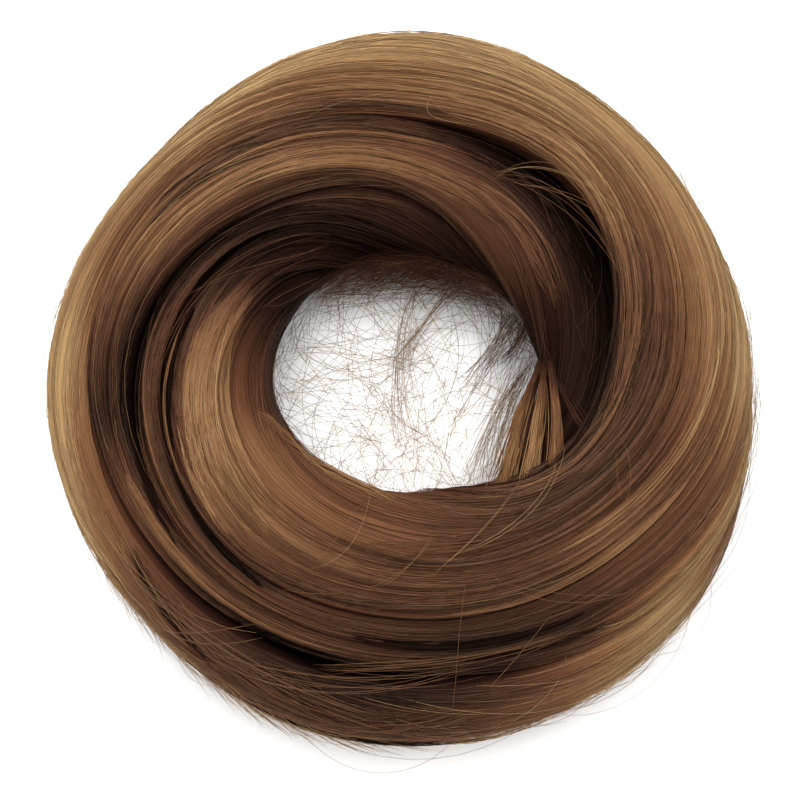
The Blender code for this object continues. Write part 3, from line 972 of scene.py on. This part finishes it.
def walked(start, heading, length, heights):
    """Paths that leave their starts along those headings, seen from above, at those heights."""
    count, points = heading.shape
    step = length / (points - 1)
    paths = np.zeros((count, points, 3))
    paths[..., 0] = start[:, None, 0] + np.cumsum(np.cos(heading) * step, 1)
    paths[..., 1] = start[:, None, 1] + np.cumsum(np.sin(heading) * step, 1)
    paths[..., 2] = heights
    return paths


def build_hole_hairs(material):
    """Fine stray hairs that curl across the hole and come down to the surface below."""
    rng, s = begin("hole_hairs")
    for number, (first, last, count, shortest, longest, highest, tone) in enumerate(HOLE_HAIRS):
        turn = rng.uniform(first, last, count)
        start = round_hole(turn, rng.uniform(1.02, 1.12, count), rng.uniform(0.002, highest, count))
        length = rng.uniform(shortest, longest, (count, 1))
        bend = rng.normal(0, 1, (count, 1)) * 45 * length + rng.choice((-1, 1), (count, 1)) * 0.8
        depth = rng.uniform(0.1, 0.7, (count, 1))
        wave = depth * np.sin(s * rng.uniform(3, 9, (count, 1)) + rng.uniform(0, 6, (count, 1)))
        inwards = np.radians(turn)[:, None] + math.pi + rng.normal(0, 0.6, (count, 1))
        low = rng.uniform(0.0003, 0.004, (count, 1))
        heights = low + (start[:, None, 2] - low) * (1 - s) ** 2
        paths = walked(start, inwards + bend * (s - 0.3) + wave, length, heights)
        tones = rng.normal(tone, LOOSE_TONE_SPREAD, count)
        add_loose(f"hole_hairs_{number + 1}", paths, LOOSE_RADIUS, tones, material)


def build_hole_arcs(material):
    """Long fine hairs that bow across the hole from one side towards another, and the dense ones that hang
    under its far edge."""
    rng, s = begin("hole_arcs")
    for number, row in enumerate(HOLE_ARCS):
        first, last, bow, reach, heights, last_heights, count, tone = row
        start = round_hole(rng.uniform(*first, count), WALL_OF_HOLE, rng.uniform(*heights, count))
        turn, out = rng.uniform(*last, count), rng.uniform(*reach, count)
        end = round_hole(turn, out, rng.uniform(*last_heights, count))
        aside = np.stack((start[:, 1] - end[:, 1], end[:, 0] - start[:, 0], np.zeros(count)), -1)
        middle = (start + end) / 2 + aside * rng.uniform(*bow, (count, 1)) - np.array((0, 0, 0.002))
        paths = through((start[:, None], middle[:, None], end[:, None]), s[..., None])
        tones = rng.normal(tone, LOOSE_TONE_SPREAD, count)
        add_loose(f"hole_arcs_{number + 1}", paths, LOOSE_RADIUS, tones, material)


def build_fringes(material):
    """Short hairs that stand off the wall of the hole and soften its edge. Most of them bend along it."""
    rng, s = begin("hole_fringe")
    for number, (first, last, count, shortest, longest, lowest, highest, tone) in enumerate(FRINGES):
        turn = rng.uniform(first, last, count)
        start = round_hole(turn, rng.uniform(1.0, 1.05, count), rng.uniform(lowest, highest, count))
        length = rng.uniform(shortest, longest, (count, 1))
        way = rng.choice((-1, 1), (count, 1), p=(0.75, 0.25))
        aside = rng.uniform(35, 85, (count, 1)) + rng.uniform(-30, 45, (count, 1)) * s
        heading = np.radians(turn[:, None] + 180 + way * aside) + rng.normal(0, 0.25, (count, 1)) * s
        paths = walked(start, heading, length, start[:, None, 2] - 0.4 * length * s**1.5)
        tones = rng.normal(tone, 0.1, count)
        add_loose(f"hole_fringe_{number + 1}", paths, LOOSE_RADIUS, tones, material)


def build_wisps(material):
    """The thin wisps across the hole, and the tuft and the comb of hair at its right side. The hairs of each
    fan out sideways along it."""
    rng, s = begin("wisp")
    for number, (start, middle, end, spread, count, radius, flatness, tone) in enumerate(WISPS):
        jitter = rng.normal(0, 1, (3, count, 3)) * np.array(spread)[:, None, None]
        jitter[..., 2] *= 0.4
        beside = rng.normal(0, 1, (count, 1)) * 0.8 * np.array((1, 0.2, 0))
        jitter[1] = 0.5 * jitter[1] + spread[1] * beside
        jitter[2] = 0.5 * jitter[2] + spread[2] * beside
        places = [MM * (np.array(place) + moved) for place, moved in zip((start, middle, end), jitter)]
        paths = through([place[:, None] for place in places], s[..., None])
        paler = WISP_ROOT + (1 - WISP_ROOT) * np.clip(s / 0.4, 0, 1)
        tones = rng.normal(tone, LOOSE_TONE_SPREAD, (count, 1)) * paler
        add_loose(f"wisp_{number + 1}", paths, MM * radius, tones, material, flatness)


def build_arches(material):
    """Single hairs that cross the gaps and the locks, clear of them."""
    rng, t = begin("arch")
    for number, (turns, angles, arch, count, tone) in enumerate(ARCHES):
        turn = through([value + rng.normal(0, 1.5, (count, 1)) for value in turns], t)
        angle = through([value + rng.normal(0, 2.0, (count, 1)) for value in angles], t)
        rise = arch * rng.uniform(0.6, 1.2, (count, 1)) * 4 * t * (1 - t)
        paths = meridian(turn, angle, outline_reach(turn, angle) + rise - 0.0002)
        tones = rng.normal(tone, 0.06, count)
        add_loose(f"arch_{number + 1}", paths, ARCH_RADIUS, tones, material)


def build_surface_hairs(coils, material):
    """Long hairs that lie over the locks and cross them at a slant."""
    (rng, s), count = begin("stray_hairs"), SURFACE_HAIRS
    for coil in coils:
        length = rng.uniform(30, 110, count)
        turn = coil.starts(count, length)[:, None] + s * length[:, None]
        across = rng.uniform(0, 1, (count, 1)) + rng.normal(0, 0.45, (count, 1)) * (s - 0.5)
        across = across + 0.03 * np.sin(s * rng.uniform(3, 9, (count, 1)))
        across = np.clip(across, -0.25, 1.25)
        sunk = 0.0012 * (1 - np.sin(np.pi * s)) ** 3
        lift = STRIP_RISE * 0.6 + rng.uniform(0, 0.0006, (count, 1)) - sunk
        paths, _ = coil.surface(turn, across, lift)
        tones = np.clip(coil.tone(turn[:, s.size // 2], 0.5) + rng.uniform(0.02, 0.20, count), 0, 1)
        add_loose(coil.name + "_stray_hairs", paths, LOOSE_RADIUS, tones, material)


def build_rim_hairs(material):
    """Hairs that leave the outer rim and come back to it or end free, longest where the photo has them."""
    rng, s = begin("rim_hairs")
    for number, (low, high, count, away, length, angles, free) in enumerate(RIM_HAIRS):
        turn = rng.uniform(low, high, (count, 1)) + s * rng.uniform(*length, (count, 1))
        angle = rng.uniform(*angles, (count, 1)) - RIM_FALL * s
        height = rng.uniform(0.2, 1.0, (count, 1)) ** 2 * away
        looped = height * (4 * s * (1 - s)) ** rng.uniform(0.6, 1.6, (count, 1)) - RIM_DEPTH
        ends_free = rng.uniform(0, 1, (count, 1)) < free
        straight = rng.uniform(0.1, 1.0, (count, 1)) * away * s**2 - TIP_DEPTH
        paths = meridian(turn, angle, outline_reach(turn, angle) + np.where(ends_free, straight, looped))
        # Their pale golden tones are the hair's colour with a painted glow of light shining through thin
        # hair at the rim
        tones = rng.uniform(0.75, 1.0, count)
        add_loose(f"rim_hairs_{number + 1}", paths, LOOSE_RADIUS, tones, material)


def build_stage():
    bpy.ops.mesh.primitive_plane_add(size=FLOOR_SIZE, location=(0, 0, 0))
    floor = bpy.context.active_object
    floor.name = "floor"
    paper = bpy.data.materials.new("paper")
    paper.use_nodes = True
    shader = paper.node_tree.nodes["Principled BSDF"]
    shader.inputs["Base Color"].default_value = (*PAPER_COLOUR, 1)
    shader.inputs["Roughness"].default_value = PAPER_ROUGHNESS
    floor.data.materials.append(paper)
    world = bpy.data.worlds.new("studio")
    world.use_nodes = True
    world.node_tree.nodes["Background"].inputs["Color"].default_value = (1, 1, 1, 1)
    world.node_tree.nodes["Background"].inputs["Strength"].default_value = WORLD_LIGHT
    bpy.context.scene.world = world
    for row in LIGHTS:
        add_area(*row)


def add_area(name, place, size, power, colour):
    data = bpy.data.lights.new(name, "AREA")
    data.size, data.energy, data.color = size, power, colour
    lamp = bpy.data.objects.new(name, data)
    lamp.location = place
    lamp.rotation_euler = (LIT_PLACE - Vector(place)).to_track_quat("-Z", "Y").to_euler()
    bpy.context.scene.collection.objects.link(lamp)


def build_camera():
    data = bpy.data.cameras.new("camera")
    data.lens = CAMERA_LENS
    camera = bpy.data.objects.new("camera", data)
    tilt = math.radians(CAMERA_ELEVATION)
    target = Vector(CAMERA_TARGET)
    camera.location = target + CAMERA_DISTANCE * Vector((0, -math.cos(tilt), math.sin(tilt)))
    camera.rotation_euler = (target - camera.location).to_track_quat("-Z", "Y").to_euler()
    bpy.context.scene.collection.objects.link(camera)
    bpy.context.scene.camera = camera


def build():
    bpy.context.scene.view_settings.view_transform = "Standard"
    body = hair_material("hair_body", BODY_ROUGHNESS, DARK_SHINE, True)
    hair = hair_material("hair", HAIR_ROUGHNESS, SHINE, False)
    dark_hair = hair_material("dark_hair", DARK_ROUGHNESS, DARK_SHINE, False)
    loose_hair = hair_material("loose_hair", LOOSE_ROUGHNESS, LOOSE_SHINE, False)
    coils = [Coil(*row) for row in COILS]
    for coil in coils:
        build_base(coil, body)
        build_strands(coil, (hair, dark_hair))
    build_wall_strands(coils[RIM], dark_hair)
    build_surface_hairs(coils, hair)
    build_hole_hairs(loose_hair)
    build_hole_arcs(loose_hair)
    build_fringes(loose_hair)
    build_wisps(loose_hair)
    build_arches(hair)
    build_rim_hairs(loose_hair)
    build_stage()
    build_camera()


build()
